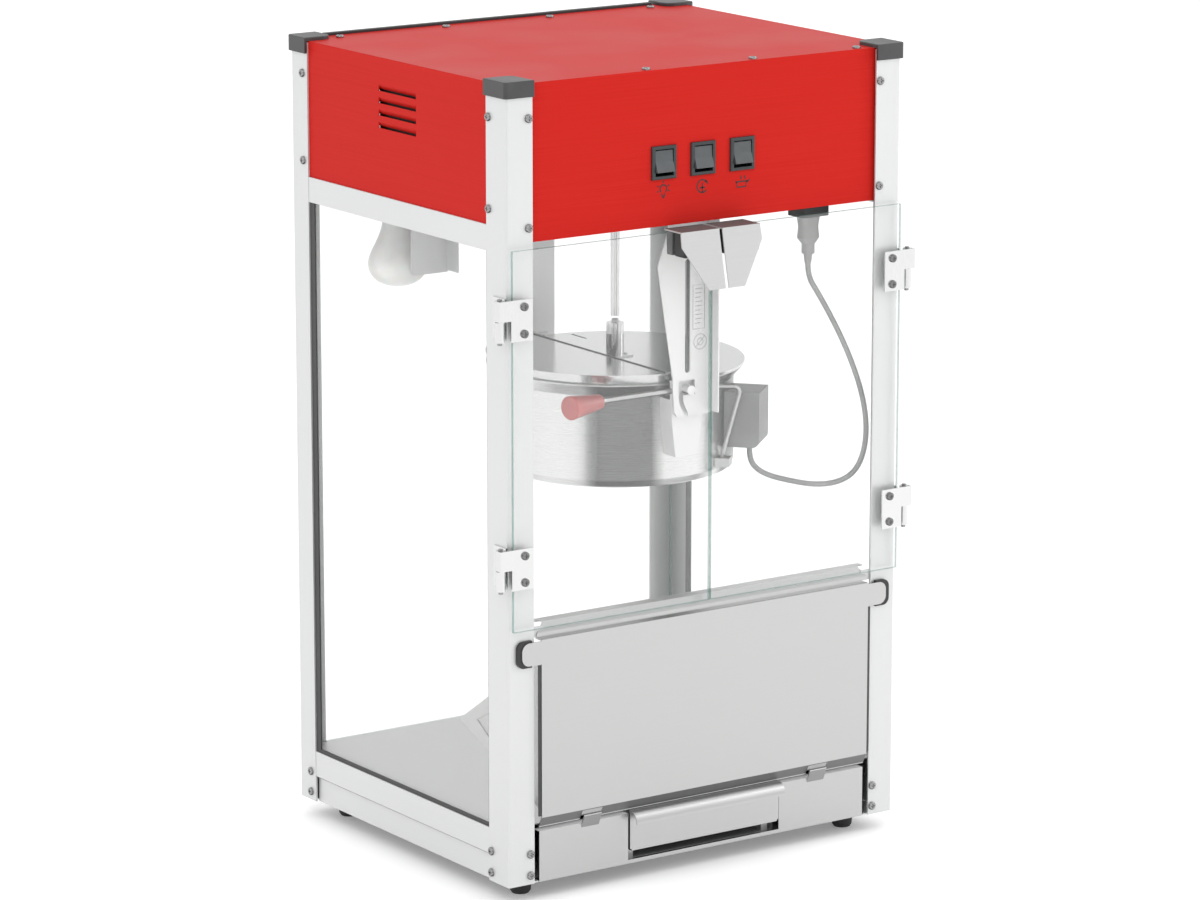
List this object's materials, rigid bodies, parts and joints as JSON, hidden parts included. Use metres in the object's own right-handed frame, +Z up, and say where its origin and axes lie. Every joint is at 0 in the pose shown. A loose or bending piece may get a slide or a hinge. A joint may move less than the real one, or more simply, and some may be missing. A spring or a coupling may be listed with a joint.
{
  "type": "popcorn machine",
  "caption": "Counter-top popcorn machine: glass cabinet with red canopy, tilting kettle on hanger arms, glass doors, tilt-out panel and kernel drawer.",
  "frame": {"origin": "bottom centre of the bounding box, under the rubber feet, leaving out the kettle's cord and plug", "axes": "+X to the machine's right seen from the front, +Y to its back, +Z up"},
  "size_m": [0.53, 0.4535, 0.864],
  "materials": {
    "post_metal": "satin",
    "rail_metal": "satin",
    "cap_plastic": "matt",
    "red_paint": "semi-gloss",
    "black_trim": "matt",
    "stainless": "brushed",
    "clear_glass": "clear",
    "gasket": "matt",
    "foot_rubber": "matt",
    "switch_black": "gloss",
    "rocker_grey": "gloss",
    "screw_steel": "bright",
    "hinge_steel": "satin",
    "kettle_steel": "polished",
    "pot_aluminium": "satin",
    "grip_red": "gloss",
    "box_plastic": "matt",
    "cord_rubber": "matt",
    "motor_paint": "satin",
    "bulb_glass": "frosted",
    "socket_ceramic": "gloss"
  },
  "bodies": {
    "cabinet": {"corner_posts": "post_metal", "post_caps": "cap_plastic", "top_cover": "red_paint", "rear_trim": "black_trim", "canopy_front": "red_paint", "canopy_sides": "red_paint", "canopy_back": "red_paint", "ceiling_plate": "rail_metal", "side_top_rails": "rail_metal", "side_bottom_rails": "rail_metal", "back_rails": "rail_metal", "side_glass": "clear_glass", "back_glass": "clear_glass", "glass_gaskets": "gasket", "sill_rail": "stainless", "base_front": "stainless", "base_pan": "rail_metal", "floor_pan": "stainless", "rubber_feet": "foot_rubber", "gearmotor": "motor_paint", "lamp_socket": "socket_ceramic", "lamp_bulb": "bulb_glass", "lamp_guard": "rail_metal", "kettle_outlet": "box_plastic", "mains_inlet": "switch_black", "arm_front": "stainless", "arm_rear": "stainless", "switch_bezels": "switch_black", "casing_screws": "screw_steel", "hinge_fixed_leaves": "hinge_steel", "hinge_pins": "screw_steel", "panel_bumpers": "black_trim", "kettle_cord": "cord_rubber", "kettle_plug": "cord_rubber"},
    "door_left": {"door_glass_left": "clear_glass", "hinge_leaves_left": "hinge_steel", "handle_left": "stainless", "handle_clip_left": "black_trim"},
    "door_right": {"door_glass_right": "clear_glass", "hinge_leaves_right": "hinge_steel", "handle_right": "stainless", "handle_clip_right": "black_trim"},
    "tilt_panel": {"front_panel": "stainless"},
    "drawer": {"kernel_drawer": "stainless"},
    "rocker_lamp": {"rocker_lamp": "rocker_grey"},
    "rocker_motor": {"rocker_motor": "rocker_grey"},
    "rocker_kettle": {"rocker_kettle": "rocker_grey"},
    "kettle": {"kettle_pot": "pot_aluminium", "kettle_shell": "kettle_steel", "heater_plate": "pot_aluminium", "lid_fixed": "kettle_steel", "shaft_guide": "kettle_steel", "pivot_brackets": "stainless", "lever_rod": "stainless", "lever_grip": "grip_red", "junction_box": "box_plastic", "kettle_latch": "stainless"},
    "flap": {"lid_flap": "kettle_steel"},
    "stirrer": {"stirrer": "stainless"},
    "drive_shaft": {"drive_shaft": "screw_steel"}
  },
  "joints": [
    {"name": "door_left_swing", "type": "hinge", "parent": "cabinet", "child": "door_left", "pos_m": [-0.26, -0.19342, 0.52], "axis": [0, 0, 1], "range_deg": [-105, 0]},
    {"name": "door_right_swing", "type": "hinge", "parent": "cabinet", "child": "door_right", "pos_m": [0.26, -0.19342, 0.52], "axis": [0, 0, 1], "range_deg": [0, 105]},
    {"name": "front_panel_tilt", "type": "hinge", "parent": "cabinet", "child": "tilt_panel", "pos_m": [0, -0.18891, 0.08], "axis": [1, 0, 0], "range_deg": [0, 55]},
    {"name": "drawer_slide", "type": "slide", "parent": "cabinet", "child": "drawer", "axis": [0, -1, 0], "range_m": [0, 0.16]},
    {"name": "rocker_lamp_rock", "type": "hinge", "parent": "cabinet", "child": "rocker_lamp", "pos_m": [-0.053, -0.18241, 0.7635], "axis": [1, 0, 0], "range_deg": [0, 24]},
    {"name": "rocker_motor_rock", "type": "hinge", "parent": "cabinet", "child": "rocker_motor", "pos_m": [-0.0035, -0.18241, 0.7635], "axis": [1, 0, 0], "range_deg": [0, 24]},
    {"name": "rocker_kettle_rock", "type": "hinge", "parent": "cabinet", "child": "rocker_kettle", "pos_m": [0.0465, -0.18241, 0.7635], "axis": [1, 0, 0], "range_deg": [0, 24]},
    {"name": "kettle_dump", "type": "hinge", "parent": "cabinet", "child": "kettle", "pos_m": [0.015, 0.01608, 0.508], "axis": [0, 1, 0], "range_deg": [-60, 0]},
    {"name": "lid_flap_hinge", "type": "hinge", "parent": "kettle", "child": "flap", "pos_m": [0.008, 0.01608, 0.521], "axis": [0, 1, 0], "range_deg": [0, 80]},
    {"name": "drive_shaft_spin", "type": "hinge", "parent": "cabinet", "child": "drive_shaft", "pos_m": [0.027, 0.01608, 0.62], "axis": [0, 0, 1], "continuous": true},
    {"name": "stirrer_spin", "type": "hinge", "parent": "kettle", "child": "stirrer", "pos_m": [0.027, 0.01608, 0.5], "axis": [0, 0, 1], "continuous": true}
  ]
}
